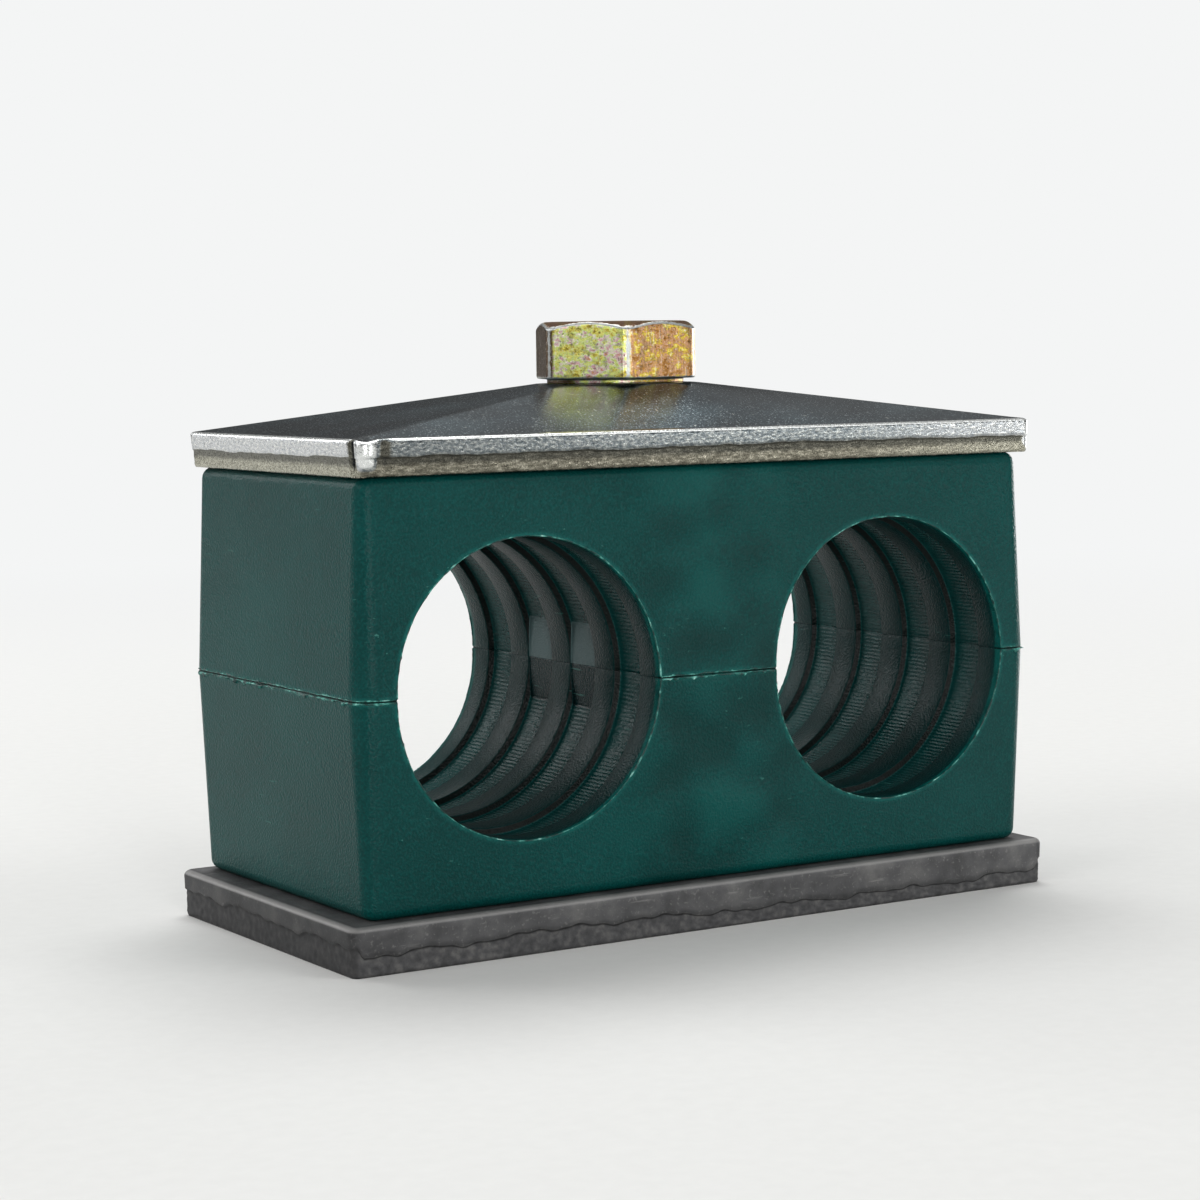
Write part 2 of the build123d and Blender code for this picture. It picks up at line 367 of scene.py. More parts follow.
    spread = add(tree, "range", {"Value": grain, "To Min": 0.27, "To Max": 0.42})
    smoother = add(tree, "product", add(tree, "larger", floor, flat), 0.1)
    tree.links.new(add(tree, "difference", spread, smoother), shader.inputs["Roughness"])
    sink = add(tree, "product", hollow, near_web)
    bumped(
        tree, shader, (sink, 2.5 * MM, 0.7), (coarse, 0.02 * MM, 0.5), (grain, 0.08 * MM, 0.9),
        (lines, 0.02 * MM, 0.6),
    )
    shader.inputs["IOR"].default_value = 1.49
    shader.inputs["Specular IOR Level"].default_value = 0.13
    return made


def torn_polypropylene():
    """Flash and rim burrs of the same plastic, stretched thin so that it whitens."""
    made, tree, shader = new_material("flash_polypropylene")
    place = coordinates(tree)[0]
    tint = add(tree, "ramp", lumps(tree, place, 0.7 * MM, 4.0), stops=(
        (0.42, "#033330"), (0.54, "#15685f"), (0.64, "#5aa79b"), (0.74, "#b5d6cf"),
    ))
    tree.links.new(tint, shader.inputs["Base Color"])
    shader.inputs["Roughness"].default_value = 0.45
    bumped(tree, shader, (lumps(tree, place, 0.15 * MM, 2.0), 0.02 * MM, 0.6))
    return made


def pressed_zinc():
    """Cover plate, pressed and sheared, then barrel plated with clear zinc: blue-grey with fine
    bright speckle, white flecks of painted glint and handling scratches.  The side mark is 1 down
    the sheared edge.  The mark of bands and painted light is 1 on the rolled-over edge and on
    the knock and the drip, where a highlight is painted, 0 on faces and the burnished band, -1
    where the edge tore, and -2 in the nick, where shade is painted."""
    made, tree, shader = new_material("clear_zinc_plated_steel")
    place, x, _, z = coordinates(tree)
    shear = add(tree, "ShaderNodeAttribute", attribute_name="shear", out="Fac")
    side = add(tree, "ShaderNodeAttribute", attribute_name="side", out="Fac")
    cloud = lumps(tree, place, 7 * MM, 4.0, (2.0, 1.0, 1.0))
    speckle = lumps(tree, place, 0.15 * MM)
    face = add(tree, "ramp", cloud, stops=((0.32, "#1f292e"), (0.5, "#35434a"), (0.68, "#576970")))
    face = painted(tree, face, "#a9b4b4", 0.5, speckle, 0.5, 0.75)
    face = painted(tree, face, "#172024", 0.5, speckle, 0.46, 0.28)
    # white flecks: painted glints
    painted_glint = lumps(tree, place, 0.45 * MM, 2.0, roughness=0.4)
    face = painted(tree, face, "#e2e4dc", 0.8, painted_glint, 0.72, 0.80)
    rub = lumps(tree, place, 0.25 * MM, stretch=(1.0, 7.0, 1.0))
    face = painted(tree, face, "#c4cccd", 0.55, rub, 0.62, 0.72)

    # the burnished band: streaks drawn down the edge by the blade
    streak = lumps(tree, place, 0.20 * MM, 4.0, (2.2, 2.2, 1.0), 0.6)
    burnished = add(tree, "ramp", streak, stops=(
        (0.32, "#4a5256"), (0.46, "#6b7173"), (0.56, "#878b8a"), (0.70, "#b4b7b3"),
    ))
    crystal = lumps(tree, place, 0.20 * MM, 4.0, (3.5, 3.5, 1.0))
    torn = add(tree, "ramp", crystal, stops=((0.3, "#4e4b42"), (0.5, "#6d6a5e"), (0.7, "#989486")))
    torn_zone = add(tree, "band", shear, 0.0, -0.6)
    edge = add(tree, "mix", torn_zone, burnished, torn)
    # a painted highlight, pale and streaky, on the two end edges and on the long ones towards +X
    ends = add(
        tree, "band", add(tree, "size", x), COVER_HIGH[0] - 0.9 * MM, COVER_HIGH[0] - 0.4 * MM)
    painted_light_towards_end = add(tree, "product", add(tree, "band", x, 10 * MM, 34 * MM), 0.6)
    pale = add(
        tree, "mix", torn_zone,
        add(tree, "ramp", streak, stops=((0.3, "#a4a8aa"), (0.5, "#c6c8ca"), (0.7, "#e3e2dd"))),
        add(tree, "ramp", speckle, stops=((0.3, "#7b7a6b"), (0.5, "#a19f90"), (0.7, "#cbc9ba"))),
    )
    edge = painted(tree, edge, pale, 0.9, add(tree, "larger", ends, painted_light_towards_end))
    # painted shade: a ragged dark line where the torn band begins, under the step
    ragged_height = add(tree, "product_and_sum", streak, 0.5 * MM, z)
    line = add(tree, "band", ragged_height, COVER_LOW[2] + 0.9 * MM, COVER_LOW[2] + 1.4 * MM)
    edge = painted(tree, edge, "#2b2d2b", 0.7, add(tree, "product", line, torn_zone))
    # painted shade, near-black, on the ledge under the step and in the nick
    edge = add(tree, "mix", add(tree, "band", shear, -1.2, -1.8), edge, "#242627")
    tint = add(tree, "mix", side, face, edge)
    # painted highlight, near-white, along the rolled-over edge and on the knock and the drip
    tint = painted(tree, tint, "#eceeec", 0.9, shear, 0.25, 0.8)
    tree.links.new(tint, shader.inputs["Base Color"])
    shader.inputs["Metallic"].default_value = 1.0
    duller = add(tree, "sum", speckle, add(tree, "product", side, 0.12))
    tree.links.new(add(tree, "range", duller, 0.2, 0.9, 0.12, 0.36), shader.inputs["Roughness"])
    crumb = add(
        tree, "product", lumps(tree, place, 0.16 * MM), add(tree, "band", shear, -0.1, -0.7))
    bumped(
        tree, shader, (cloud, 0.10 * MM, 0.4), (speckle, 0.012 * MM, 0.4),
        (add(tree, "product", streak, side), 0.06 * MM, 0.7), (crumb, 0.05 * MM, 0.6),
    )
    return made


def yellow_zinc():
    """Bolt, forged and plated with yellow chromated zinc: a thin film that shifts between
    yellow-green, gold, pink and brown over each flat.  The worn mark is 1 on the edges, which
    are rubbed back to grey.  The crown is matt and painted dark brown, a painted reflection of
    dark surroundings, and the flat facing -X is painted dark brown as painted shade."""
    made, tree, shader = new_material("yellow_chromated_zinc")
    place = coordinates(tree)[0]
    worn = add(tree, "ShaderNodeAttribute", attribute_name="worn", out="Fac")
    facing = add(tree, "ShaderNodeTexCoord", out="Normal")
    # the film is thicker, so pinker and browner, on the flats that drained last
    drained = add(tree, "dot", facing, (-0.92, 0.40, -0.9))
    film = lumps(tree, place, 1.1 * MM, 6.0, (1.3, 1.3, 0.8), 0.74)
    thin = add(tree, "ramp", film, stops=(
        (0.34, "#8f7a3c"), (0.41, "#e0cf4e"), (0.46, "#f8f69a"), (0.50, "#d9ee72"),
        (0.54, "#faf7e0"), (0.59, "#ebb6c3"), (0.66, "#d9a23f"),
    ))
    thick = add(tree, "ramp", film, stops=(
        (0.36, "#7f5230"), (0.44, "#b98746"), (0.50, "#c59a80"), (0.55, "#c59a3c"),
        (0.61, "#e0d35a"), (0.68, "#f0c8b8"),
    ))
    tint = add(tree, "mix", add(tree, "band", drained, 0.15, -0.15), thin, thick)
    # painted shade: the flat that faces -X is painted dark brown
    brown = add(tree, "mix", film, "#2e2013", "#6a4d33")
    painted_shade_side = add(tree, "band", add(tree, "dot", facing, (-1, 0.1, 0)), 0.8, 0.95)
    tint = add(tree, "mix", painted_shade_side, tint, brown)
    pit = lumps(tree, place, 0.22 * MM)
    drawn = lumps(tree, place, 0.16 * MM, stretch=(1.0, 1.0, 12.0))
    patch = lumps(tree, place, 0.7 * MM, 5.0, roughness=0.7)
    tint = painted(tree, tint, "#77694c", 0.45, patch, 0.50, 0.38)
    tint = painted(tree, tint, "#4c4636", 0.7, pit, 0.42, 0.30)
    tint = painted(tree, tint, "#f3f2e2", 0.6, pit, 0.60, 0.70)
    tint = painted(tree, tint, "#f1f1e6", 0.45, drawn, 0.60, 0.70)
    rubbed = add(tree, "band", add(tree, "product_and_sum", patch, 1.6, worn), 1.25, 1.6)
    tint = add(tree, "mix", rubbed, tint, add(tree, "mix", pit, "#8e9291", "#c3c6c4"))
    # painted reflection: the upward faces of the crown are painted dark brown
    upwards = add(tree, "axes", facing, out="Z")
    crown = add(
        tree, "product", add(tree, "band", upwards, 0.15, 0.4),
        add(tree, "difference", 1.0, rubbed),
    )
    tint = painted(tree, tint, add(tree, "mix", patch, "#160c08", "#513523"), 0.92, crown)
    tree.links.new(tint, shader.inputs["Base Color"])
    shader.inputs["Metallic"].default_value = 1.0
    duller = add(tree, "product_and_sum", crown, 1.2, pit)
    spread = add(tree, "range", duller, 0.0, 1.0, 0.26, 0.5, clamp=False)
    tree.links.new(spread, shader.inputs["Roughness"])
    bumped(tree, shader, (patch, 0.10 * MM, 0.6), (drawn, 0.04 * MM, 0.6), (pit, 0.04 * MM, 0.6))
    return made


def bare_steel(name):
    """Hot-rolled steel with dull mill scale, as the sheared bar and the nut have: the burnished
    band is plain, the torn band below it dark and crumbled, the rolled-over edge scuffed bright
    with a painted highlight, the ledge under the step near-black with painted shade, and the two
    short ends darkened with painted shade.  The mark of bands and painted light is 1 on the
    rolled-over edge, 0 on faces and the burnished band, -1 where it tore and -1.5 on the ledge."""
    made, tree, shader = new_material(name)
    place, x = coordinates(tree)[:2]
    shear = add(tree, "ShaderNodeAttribute", attribute_name="shear", out="Fac")
    blotch = lumps(tree, place, 3.5 * MM, 5.0)
    grit = lumps(tree, place, 0.3 * MM)
    scuff = lumps(tree, place, 0.5 * MM, stretch=(9.0, 1.0, 1.0))
    tint = add(tree, "ramp", blotch, stops=((0.3, "#4a4a4b"), (0.5, "#5f5f60"), (0.72, "#797877")))
    tint = painted(tree, tint, "#8d8c8a", 0.5, grit, 0.55, 0.75)
    tint = painted(tree, tint, "#a9a8a5", 0.35, scuff, 0.62, 0.74)
    torn = add(tree, "band", shear, -0.1, -0.8)
    tint = add(tree, "mix", torn, tint, add(tree, "ramp", lumps(tree, place, 0.6 * MM, 4.0), stops=(
        (0.3, "#464647"), (0.5, "#565657"), (0.7, "#6c6b6a"),
    )))
    # painted shade: the ledge's near-black shows least on the two short ends, which are darkened
    off_end = add(
        tree, "band", add(tree, "size", x), PLATE_HIGH[0] - 0.5 * MM, PLATE_HIGH[0] - 1.0 * MM)
    ledge = add(
        tree, "product", add(tree, "band", shear, -1.05, -1.4),
        add(tree, "product_and_sum", off_end, 0.5, 0.15),
    )
    tint = add(tree, "mix", ledge, tint, "#1b1b1b")
    tint = painted(tree, tint, "#2c2c2d", 0.45, add(tree, "difference", 1.0, off_end))
    # painted highlight, with real scuffing, on the rolled-over edge
    tint = painted(tree, tint, "#a5a4a2", 0.55, shear, 0.2, 0.9)
    tree.links.new(tint, shader.inputs["Base Color"])
    shader.inputs["Metallic"].default_value = 0.75
    duller = add(tree, "product_and_sum", torn, 0.3, grit)
    tree.links.new(add(tree, "range", duller, 0.0, 1.3, 0.46, 0.75), shader.inputs["Roughness"])
    bumped(tree, shader, (blotch, 0.05 * MM, 0.4), (grit, 0.03 * MM, 0.5))
    return made


# ---------------------------------------------------------------- camera, floor and light

BACKDROP = "#f4f5f5"
FLOOR_RADIUS = 1.6

# name: place, width and height in metres, power in watts
LAMPS = {
    "key_left": ((-0.55, -0.05, 0.34), 0.30, 0.36, 1.0),
    "fill_right": ((0.30, -0.38, 0.46), 0.30, 0.30, 0.65),
    "top_back": ((0.12, 0.25, 0.60), 0.40, 0.30, 2.4),
    "front_left": ((-0.17, -0.62, 0.14), 0.16, 0.26, 1.35),
    "right_strip": ((0.60, 0.17, 0.06), 0.18, 0.20, 1.2),
    "through_the_bores": ((-0.30, 0.48, 0.26), 0.26, 0.26, 0.9),
    "low_right": ((0.165, -0.225, 0.034), 0.05, 0.04, 0.08),
    "low_left": ((-0.30, 0.52, 0.045), 0.12, 0.07, 0.06),
}


def place_camera():
    """Long lens just above the cover plate, looking along +Y and turned towards +X."""
    heading, dip, tilt = np.radians((32.2, 5.1, 0.73))
    data = bpy.data.cameras.new("camera")
    data.sensor_width = 36.0
    data.lens = 86.6
    data.clip_start = 0.01
    camera = bpy.data.objects.new("camera", data)
    bpy.context.scene.collection.objects.link(camera)
    turned = (
        Matrix.Rotation(-heading, 4, "Z") @ Matrix.Rotation(np.pi / 2 - dip, 4, "X")
        @ Matrix.Rotation(-tilt, 4, "Z")
    )
    camera.matrix_world = Matrix.Translation(np.array((-134.9, -211.3, 48.7)) * MM) @ turned
    bpy.context.scene.camera = camera


def softbox(name, place, width, height, power):
    """A rectangular lamp at PLACE that faces the middle of the object, unseen by the lens."""
    data = bpy.data.lights.new(name, "AREA")
    data.shape = "RECTANGLE"
    data.size, data.size_y, data.energy = width, height, power
    lamp = bpy.data.objects.new(name, data)
    bpy.context.scene.collection.objects.link(lamp)
    lamp.location = place
    lamp.visible_camera = False
    away = Vector(place) - Vector((0, 0, 25 * MM))
    lamp.rotation_euler = away.to_track_quat("Z", "Y").to_euler()


def kinds_of_ray(tree):
    """Two masks: rays from the lens or through glass, and rays off gloss.  Both are 0 for the
    light that falls on surfaces."""
    ray = add(tree, "ShaderNodeLightPath").node.outputs
    seen = add(tree, "larger", ray["Is Camera Ray"], ray["Is Transmission Ray"])
    return seen, ray["Is Glossy Ray"]


def pale_floor():
    """Round sheet of pale paper that fades with distance into the backdrop's own white, so
    that no horizon shows, and keeps the object's shadow near it."""
    steps = np.linspace(0, 2 * np.pi, 96, endpoint=False)
    rim = FLOOR_RADIUS * np.column_stack([np.cos(steps), np.sin(steps), 0 * steps])
    floor = mesh_object("floor", rim, [tuple(range(len(steps)))])
    made, tree, shader = new_material("pale_paper")
    place = coordinates(tree)[0]
    fibre = lumps(tree, place, 1.5 * MM, 2.0)
    tree.links.new(add(tree, "mix", fibre, "#dddddb", "#e3e3e1"), shader.inputs["Base Color"])
    shader.inputs["Roughness"].default_value = 0.9
    shader.inputs["Specular IOR Level"].default_value = 0.2
    far = add(tree, "band", add(tree, "length", place), 0.09, 0.42)
    seen, glossy = kinds_of_ray(tree)
    fade = add(tree, "product", far, add(tree, "product_and_sum", glossy, 0.18, seen))
    white = add(tree, "ShaderNodeEmission", BACKDROP, 1.0)
    paper = add(tree, "ShaderNodeMixShader", fade, shader.outputs[0], white)
    output = next(node for node in tree.nodes if node.type == "OUTPUT_MATERIAL")
    tree.links.new(paper, output.inputs["Surface"])
    floor.data.materials.append(made)


def light_the_set():
    """World that is white to the lens and dim to everything else.  Gloss sees it darker near the
    horizon, as between black cards, and brighter overhead.  Soft lamps do the rest."""
    scene = bpy.context.scene
    scene.view_settings.view_transform = "Standard"
    pale_floor()
    world = bpy.data.worlds.new("studio")
    world.use_nodes = True
    scene.world = world
    tree = world.node_tree
    tree.nodes.clear()
    seen, glossy = kinds_of_ray(tree)
    height = add(tree, "axes", add(tree, "ShaderNodeTexCoord", out="Generated"), out="Z")
    cards = add(tree, "range", height, 0.18, 0.6, -0.28, 0.16)
    dim = 0.34
    strength = add(tree, "product_and_sum", seen, 1 - dim, dim)
    strength = add(tree, "product_and_sum", glossy, cards, strength)
    add(tree, "ShaderNodeOutputWorld", add(tree, "ShaderNodeBackground", BACKDROP, strength))
    for name, lamp in LAMPS.items():
        softbox(name, *lamp)


# ---------------------------------------------------------------- plates

def plate_rows(outline, normals, hole_radius, sections):
    """Rings of a plate round a hole.  Each section (share, push, height) puts a ring at SHARE of
    the way from the hole's edge to the outline moved outwards by PUSH, at HEIGHT."""
    across = outline / np.linalg.norm(outline, axis=1, keepdims=True)
    rings = []
    for share, push, height in sections:
        rim = outline + normals * np.broadcast_to(push, len(outline))[:, None]
        flat = across * hole_radius * (1 - share) + rim * share
        rings.append(np.column_stack([flat, np.broadcast_to(height, len(outline))]))
    return np.array(rings)


def sheared_edge(lap, top, bottom, rollover, burnish, wander, tear, rough, lean, seed):
    """Sections down a sheared edge, and their marks of band and painted light: a rounded rollover
    (up to 1, where a highlight is painted), a smooth burnished band (0), then a torn band (-1,
    below its ledge at -1.5, where shade is painted under the step) that steps in by TEAR and is
    ROUGH.  The bands' border is BURNISH of the way down and wanders by WANDER of the height.
    The whole edge leans in by LEAN towards its foot."""
    thickness = top - bottom
    start = top - rollover * 0.7
    sections, marks = [], []
    for angle in np.linspace(0, np.pi / 2, 6):
        inset = rollover * (1 - np.sin(angle))
        sections.append((1.0, -inset, top - (top - start) * (1 - np.cos(angle))))
        marks.append(np.sin(2 * angle))
    slow = waves(lap, (2, 3, 5, 9), seed)
    quick = waves(lap, (17, 29, 43, 71, 103), seed + 1, 0.5)
    drift = 0.55 * slow + 0.45 * quick
    border = top - thickness * np.clip(burnish + wander * drift, 0.25, 0.85)
    for share in (0.2, 0.5, 0.8, 1.0):
        height = start + (border - start) * share
        sections.append((1.0, -lean * (start - height) / thickness, height))
        marks.append(0.0)
    ledge = border - 0.03 * thickness
    end = bottom + 0.05 * thickness
    swell = waves(lap, (11, 19, 31, 47), seed + 2, 0.4)
    for index, share in enumerate(np.linspace(0.0, 1.0, 9)):
        crumb = waves(lap, (61, 97, 149, 211, 277), seed + 10 + index, 0.1)
        depth = tear * (1.0 - 0.55 * share) + rough * 0.6 * (crumb + swell * share)
        height = ledge + (end - ledge) * share
        inset = np.maximum(depth, 0.0) + lean * (start - height) / thickness
        sections.append((1.0, -inset, height))
        marks.append(-1.5 if index == 0 else -1.0)
    sections.append((1.0, -tear * 0.6 - rough - lean, bottom))
    marks.append(-0.5)
    return sections, marks


def weld_plate_piece():
    """Sheared plate round its hole: face, sheared edge, underside and hole wall, one closed
    surface whose rows run outwards over the face, down the edge and back below."""
    half = (PLATE_HIGH - PLATE_LOW) / 2
    outline, normals = rounded_outline(half[0], half[1], radius=0.9 * MM, step=PLATE_STEP)
    lap = np.linspace(0, 2 * np.pi, len(outline), endpoint=False)
    top, bottom = PLATE_HIGH[2], PLATE_LOW[2]
    face = [(share, -0.7 * MM, top) for share in (0, 0.03, 0.15, 0.35, 0.6, 0.8, 0.93, 0.985)]
    on_end = np.clip((np.abs(outline[:, 0]) / half[0] - 0.97) * 60, 0, 1)
    edge, edge_marks = sheared_edge(
        lap, top, bottom, rollover=0.7 * MM, burnish=0.62 - 0.24 * on_end, wander=0.13,
        tear=0.14 * MM, rough=0.07 * MM, lean=0.15 * MM, seed=3,
    )
    below = [(share, -0.4 * MM, bottom) for share in (0.985, 0.6, 0.03, 0)]
    wall = [(0, 0, bottom + (top - bottom) * share) for share in (0.1, 0.5, 0.9)]
    points = plate_rows(outline, normals, BOLT_HOLE_RADIUS, face + edge + below + wall)
    marks = np.array([0.0] * len(face) + edge_marks + [0.0] * (len(below) + len(wall)))
    shear = np.repeat(marks[:, None], len(outline), 1)
    return mesh_object("weld_plate_sheared", *grid(points, closed_rows=True), shear=shear)


def cover_plate_piece():
    """Pressed plate: each ray from the flat round seat to the straight rim is a straight line,
    the edge is sheared, and the hollow below rises the same way to the seat.  The corner at
    -X, -Y is mushroomed by a knock, with a nick beside it in the end's edge, and zinc has
    gathered in a drip at +X, -Y.  The knock and the drip carry a painted highlight, and the
    nick and the side of the knock painted shade."""
    half = (COVER_HIGH - COVER_LOW) / 2
    outline, normals = rounded_outline(half[0], half[1], radius=1.2 * MM, step=PLATE_STEP)
    lap = np.linspace(0, 2 * np.pi, len(outline), endpoint=False)
    bottom, peak = COVER_LOW[2], COVER_HIGH[2]
    seat_radius = 7.0 * MM
    top = bottom + 3.0 * MM
    rise = peak - top
    across = outline / np.linalg.norm(outline, axis=1, keepdims=True)
    rollover = 0.45 * MM

    near_corner, far_corner = half[:2] * (-1, -1), half[:2] * (1, -1)

    def dent(corner, along_x, along_y, size):
        """1 at a place in mm from a corner of the outline, falling off over SIZE mm."""
        offset = (outline - corner - np.array((along_x, along_y)) * MM) / (size * MM)
        return np.exp(-(offset ** 2).sum(1))

    # the knock: a bulge just round the corner on the long side that also droops, and a nick
    knock = 0.44 * MM * dent(near_corner, 1.0, 0.0, 0.95)
    knock = knock - 0.45 * MM * dent(near_corner, 0.0, 0.75, 0.28)
    droop = 0.22 * MM * dent(near_corner, 1.0, 0.0, 0.9)
    drip = 0.28 * MM * dent(far_corner, -0.35, 0.35, 0.5)
    # painted highlight on the knock and the drip, painted shade in the nick and beside the knock
    bright = 1.3 * dent(near_corner, 1.0, 0.0, 0.9) + 0.9 * dent(far_corner, -0.3, 0.3, 0.5)
    dark = 1.2 * dent(near_corner, 0.0, 0.75, 0.3) + 0.45 * dent(near_corner, 2.6, 0.0, 0.5)

    rings, marks = [], []
    for radius in (BOLT_HOLE_RADIUS, 4.7 * MM, 6.0 * MM, 6.9 * MM):
        rings.append(np.column_stack([across * radius, np.full(len(lap), peak)]))
    rim = outline - normals * rollover
    for share in (0.015, 0.06, 0.14, 0.24, 0.36, 0.48, 0.6, 0.72, 0.83, 0.92, 0.975):
        flat = across * seat_radius * (1 - share) + rim * share
        rings.append(np.column_stack([flat, np.full(len(lap), top + rise * (1 - share))]))
    marks += [0.0] * len(rings)
    first_edge = len(rings)
    edge, edge_marks = sheared_edge(
        lap, top, bottom, rollover=rollover, burnish=0.48, wander=0.05,
        tear=0.09 * MM, rough=0.035 * MM, lean=0.30 * MM, seed=41,
    )
    # the knock bulges most about half way down the edge, and the droop fades towards its foot
    bulge = np.sin(np.pi * np.linspace(0.12, 1.0, len(edge)))
    fall = np.clip(np.linspace(1.0, -0.6, len(edge)), 0, 1)
    edge = [
        (share, push + knock * out + drip * (1.6 - down), height - droop * down)
        for (share, push, height), out, down in zip(edge, bulge, fall)
    ]
    rings += list(plate_rows(outline, normals, BOLT_HOLE_RADIUS, edge))
    marks += edge_marks
    last_edge = len(rings)
    hollow_rim = outline - normals * 2.4 * MM
    hollow_top = across * 5.6 * MM
    for share in (1.0, 0.8, 0.5, 0.2, 0.0):
        flat = hollow_top * (1 - share) + hollow_rim * share
        rings.append(np.column_stack([flat, np.full(len(lap), bottom + rise * (1 - share))]))
    for height in (bottom + rise, bottom + rise + 1 * MM, peak - 0.3 * MM):
        rings.append(np.column_stack([across * BOLT_HOLE_RADIUS, np.full(len(lap), height)]))
    marks += [0.0] * (len(rings) - len(marks))
    # the rollover's first two rings still belong to the face
    side = np.zeros((len(rings), 1))
    side[first_edge + 2:last_edge] = 1.0
    reach = np.zeros((len(rings), 1))
    reach[first_edge:last_edge, 0] = np.clip(2.0 * bulge - 0.5, 0, 1)
    marks = np.array(marks)[:, None]
    # the mark is raised to 1 for the painted highlight and lowered to -2 for the painted shade
    shear = marks + (1 - marks) * side * reach * np.minimum(bright, 1)
    shear = shear + (-2 - shear) * side * reach * np.minimum(dark, 1)
    return mesh_object(
        "cover_plate_pressed", *grid(np.array(rings), closed_rows=True),
        shear=shear, side=np.repeat(side, len(lap), 1),
    )


# ---------------------------------------------------------------- bolt

def bolt_piece():
    """Bolt from the middle of its head down to its tip.  The head's outline is a hexagon,
    r = flat / cos(angle from the middle of a side), cut off at the rounded corners and
    bevelled by a 30 degree cone; the thread's radius is a triangle wave of
    height / pitch - turn / (2 pi), cut off at crest and root."""
    turn = np.linspace(0, 2 * np.pi, 180, endpoint=False)
    head_turn = np.radians(6.6)
    flat, corner = 6.45 * MM, 7.2 * MM  # half the widths across the flats and the corners
    washer_radius, washer_height, head_height = 5.9 * MM, 0.4 * MM, 5.3 * MM
    from_side = (turn - head_turn) % (np.pi / 3) - np.pi / 6
    hexagon = np.minimum(flat / np.cos(from_side), corner)
    top, tip = BOLT_HIGH[2], BOLT_LOW[2]
    seat = top - head_height
    hex_foot = seat + washer_height
    bevel_start = 0.95 * flat
    bevel_foot = top - (hexagon - bevel_start) * np.tan(np.radians(30))

    def ring(radius, height):
        """Section points at RADIUS and HEIGHT, one for each angle of TURN."""
        return np.column_stack(np.broadcast_arrays(radius, height, turn)[:2])

    corners_and_reach = (
        (ring(0.2 * bevel_start, top), 0), (ring(bevel_start, top), 0.35),
        (ring(hexagon, bevel_foot), 0.15), (ring(hexagon, hex_foot), 0.22),
        (ring(washer_radius, hex_foot), 0.15), (ring(washer_radius, seat), 0.12),
        (ring(BOLT_RADIUS, seat), 0.35), (ring(BOLT_RADIUS, seat - 1.3 * MM), 0),
    )
    corners, reach = zip(*corners_and_reach)
    head = soft_profile(np.array(corners), np.array(reach) * MM)
    # more rows down the flats, between the bevel's curve and the foot's, for the wear mark
    above, below = head[8], head[9]
    flats = [above + (below - above) * share for share in (0.06, 0.15, 0.35, 0.65, 0.85, 0.94)]
    head = np.concatenate([head[:9], flats, head[9:]])

    pitch, thread_length, rows_per_turn, point = 1.25 * MM, 24.0 * MM, 14, 0.9 * MM
    heights = np.arange(tip + point, tip + thread_length, pitch / rows_per_turn)[::-1][:, None]
    wave = (heights / pitch - turn[None] / (2 * np.pi)) % 1.0
    tooth = np.clip(1.25 * (1 - np.abs(2 * wave - 1)) - 0.06, 0, 1)
    crest, root = BOLT_RADIUS - 0.02 * MM, BOLT_RADIUS - 0.68 * MM
    run_out = np.clip((tip + thread_length - heights) / (1.5 * pitch), 0, 1)
    radius = crest - (crest - root) * (1 - tooth) * run_out
    off_tip = np.clip((heights - tip) / point - 1.0, 0, 0.6) / 0.6
    radius = np.minimum(radius, root + (crest - root) * (0.25 + 0.75 * off_tip))
    thread = np.stack([radius, np.broadcast_to(heights, radius.shape)], -1)
    end = np.array([ring(root, tip + 0.5 * MM), ring(root - 0.35 * MM, tip), ring(0.5 * MM, tip)])
    section = np.concatenate([head, thread, end])

    # wear: 1 on the upright corners, the bevel's arcs and the foot of the flats
    from_corner = np.abs(np.abs(from_side) - np.pi / 6) * corner
    height = section[..., 1]
    on_flat = (height > hex_foot - 0.1 * MM) & (section[..., 0] > 0.9 * flat)
    upright = np.exp(-(from_corner / (0.24 * MM)) ** 2)[None]
    arcs = np.exp(-((height - bevel_foot[None]) / (0.16 * MM)) ** 2)
    foot = 0.8 * np.exp(-((height - hex_foot) / (0.28 * MM)) ** 2)
    upright = upright * (height < bevel_foot[None] + 0.12 * MM)
    worn = np.maximum(np.maximum(upright, arcs), foot) * on_flat
    worn = np.append(worn, (0.0, 0.0))  # the middles of the two caps
    around = np.column_stack([np.cos(turn), np.sin(turn)])
    points = np.concatenate([section[..., :1] * around[None], section[..., 1:]], -1)
    return mesh_object("hex_bolt_threaded", *grid(points, capped=True), worn=worn)


# ---------------------------------------------------------------- flash and burrs on the halves

def ragged(count, seed, low, high, nicks):
    """Sizes from LOW to HIGH along a burr: smooth wandering with a few larger lumps."""
    lap = np.linspace(0, 2 * np.pi, count)
    draw = np.random.default_rng(seed)
    base = 0.5 + 0.5 * waves(lap, (3, 7, 13, 29, 53), seed, 0.3)
    beads = (draw.random(count) < nicks) * draw.uniform(0.4, 1.2, count)
    beads = np.convolve(beads, (0.3, 1.0, 0.3), "same")
    return low + (high - low) * np.clip(base + beads, 0, 1.6)


def ridge(path, out, up, width, height):
    """Rings of a thin ridge along PATH: at each point a five-sided section that reaches WIDTH
    either side along UP and HEIGHT along OUT, sunk a little into the surface."""
    across = np.array([-1.0, -0.55, 0.1, 0.7, 1.0])
    proud = np.array([-0.6, 0.55, 1.0, 0.4, -0.6])
    return (
        path[:, None] + up[:, None] * (across[None] * width[:, None])[..., None]
        + out[:, None] * (proud[None] * height[:, None])[..., None]
    )


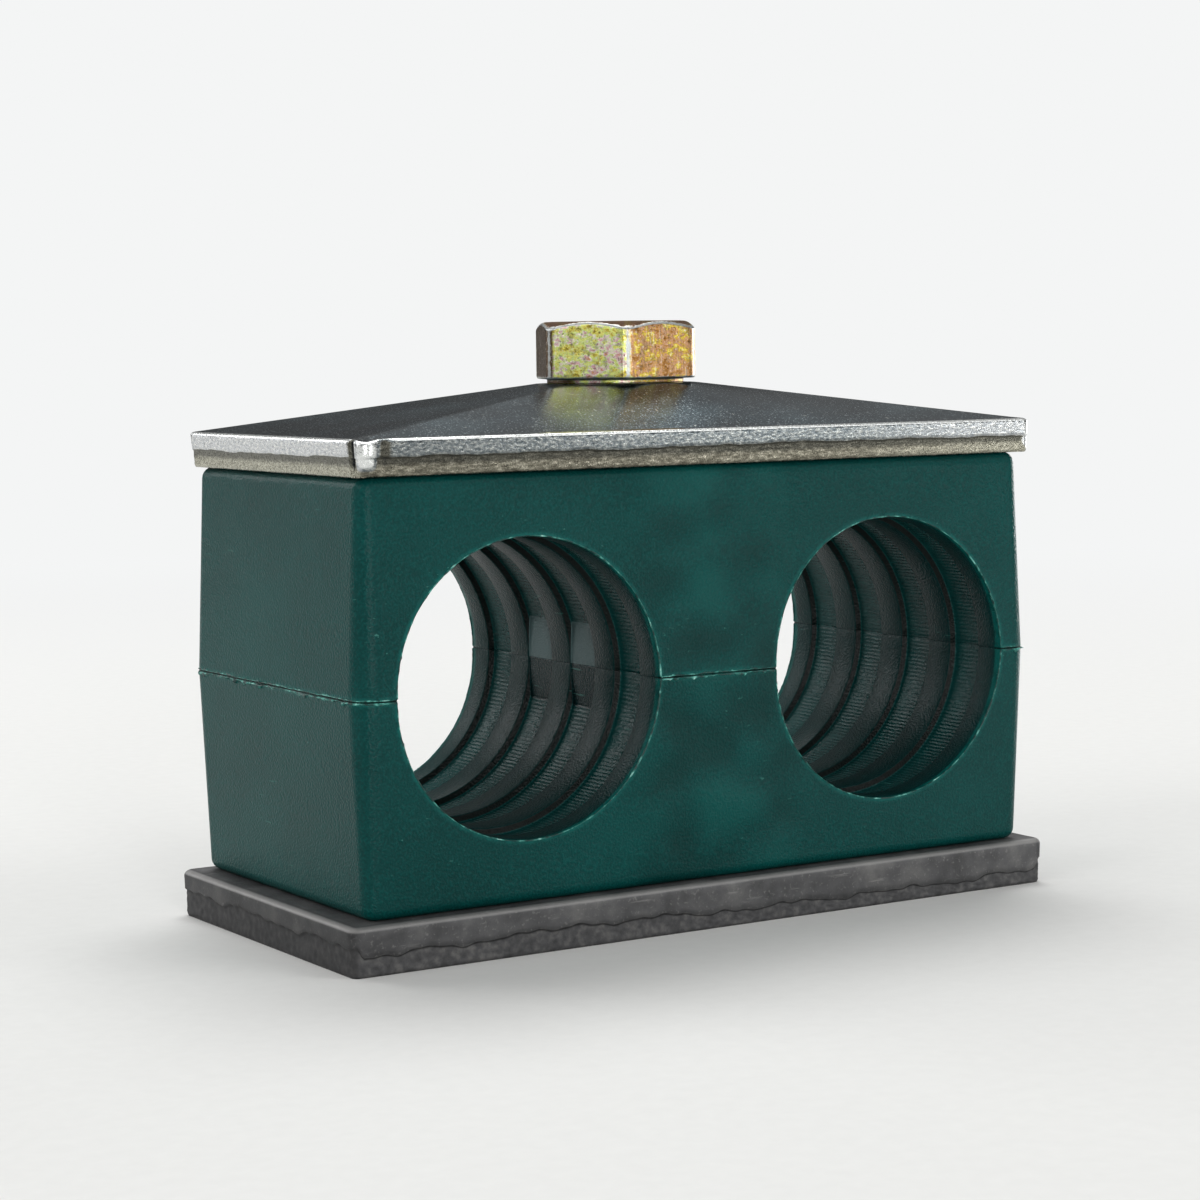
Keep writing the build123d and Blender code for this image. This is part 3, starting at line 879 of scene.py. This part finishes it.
def joined(name, ridges):
    """One mesh of several capped ridges."""
    vertices, faces, count = [], [], 0
    for rings in ridges:
        points, ring_faces = grid(rings, capped=True, first=count)
        vertices.append(points)
        faces += ring_faces
        count += len(points)
    return mesh_object(name, np.concatenate(vertices), faces)


def half_flash(name, side, seed):
    """Flash of one half, above the split for SIDE 1 and below it for -1: thin fins along the
    parting edge round both ends and across the web, and burrs round the four bore mouths."""
    half = (UPPER_HIGH - UPPER_LOW) / 2
    outline, normals = rounded_outline(half[0], half[1], radius=HALF_CORNER, step=0.16 * MM)
    # the walk starts in a bore's mouth, so no fin is cut in two
    start = int(np.argmin(np.abs(outline[:, 0] - BORE_X) + np.abs(outline[:, 1] + half[1])))
    outline, normals = np.roll(outline, -start, 0), np.roll(normals, -start, 0)
    on_bore = np.abs(np.abs(outline[:, 0]) - BORE_X) < BORE_RADIUS + 0.12 * MM
    breaks = np.flatnonzero(np.diff(on_bore.astype(int)) != 0) + 1
    more = 1.0 if side > 0 else 1.8  # the lower half's edge is the more ragged
    strips = []
    for index, run in enumerate(np.split(np.arange(len(outline)), breaks)):
        count = len(run)
        if on_bore[run[0]] or count < 8:
            continue
        lift = ragged(count, seed + index, 0.02 * MM, 0.11 * more * MM, 0.05 * more)
        width = ragged(count, seed + 20 + index, 0.03 * MM, 0.09 * more * MM, 0.06)
        path = np.column_stack([outline[run], SPLIT + side * (width + 0.04 * MM)])
        out = np.column_stack([normals[run], np.zeros(count)])
        up = np.tile((0.0, 0.0, float(side)), (count, 1))
        ring = ridge(path, out, up, width, lift)
        strips.append(ring if side > 0 else ring[:, ::-1])
    angles = np.linspace(0.01, np.pi - 0.01, 260)
    count = len(angles)
    radius = MOUTH_RADIUS + 0.01 * MM
    outwards = np.column_stack([np.cos(angles), 0 * angles, side * np.sin(angles)])
    mouths = [(centre, face) for face in (-1, 1) for centre in (-BORE_X, BORE_X)]
    for index, (centre, face) in enumerate(mouths):
        path = outwards * radius + np.array((centre, 0.0, SPLIT))
        path[:, 1] = face * (half[1] - radius * np.sin(angles) * DRAFT)
        lift = ragged(count, seed + 40 + index, 0.015 * MM, 0.09 * MM, 0.03)
        width = ragged(count, seed + 60 + index, 0.03 * MM, 0.09 * MM, 0.02)
        out = np.tile((0.0, float(face), 0.0), (count, 1))
        ring = ridge(path, out, outwards, width, lift)
        strips.append(ring if face * side > 0 else ring[:, ::-1])
    return joined(name, strips)


# ---------------------------------------------------------------- build

place_camera()
light_the_set()

# the CAD halves keep their own meshes; modifiers join them, make flat faces whole and soften edges
green = moulded_polypropylene()
for node in ("lower_clamp_half", "upper_clamp_half"):
    moulding = frame["nodes"][node]
    coat(moulding, green)
    weld = moulding.modifiers.new("join", "WELD")
    weld.merge_threshold = 0.001 * MM
    planar = moulding.modifiers.new("planar", "DECIMATE")
    planar.decimate_type = "DISSOLVE"
    planar.angle_limit = np.radians(1.0)
    soft = moulding.modifiers.new("soft_edges", "BEVEL")
    soft.width = 0.13 * MM
    soft.segments = 2
    soft.limit_method = "ANGLE"
    soft.angle_limit = np.radians(32)

flash = torn_polypropylene()
dress(half_flash("lower_half_flash", -1, 100), flash, "base")
dress(half_flash("upper_half_flash", 1, 300), flash, "upper_half")

coat(frame["nodes"]["weld_nut"], bare_steel("bare_forged_steel"))
plate = dress(weld_plate_piece(), bare_steel("bare_sheared_steel"), "base")
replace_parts(plate, "weld_plate")
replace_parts(dress(cover_plate_piece(), pressed_zinc(), "cover"), "cover_plate")
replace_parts(dress(bolt_piece(), yellow_zinc(), "bolt"), "hex_bolt")
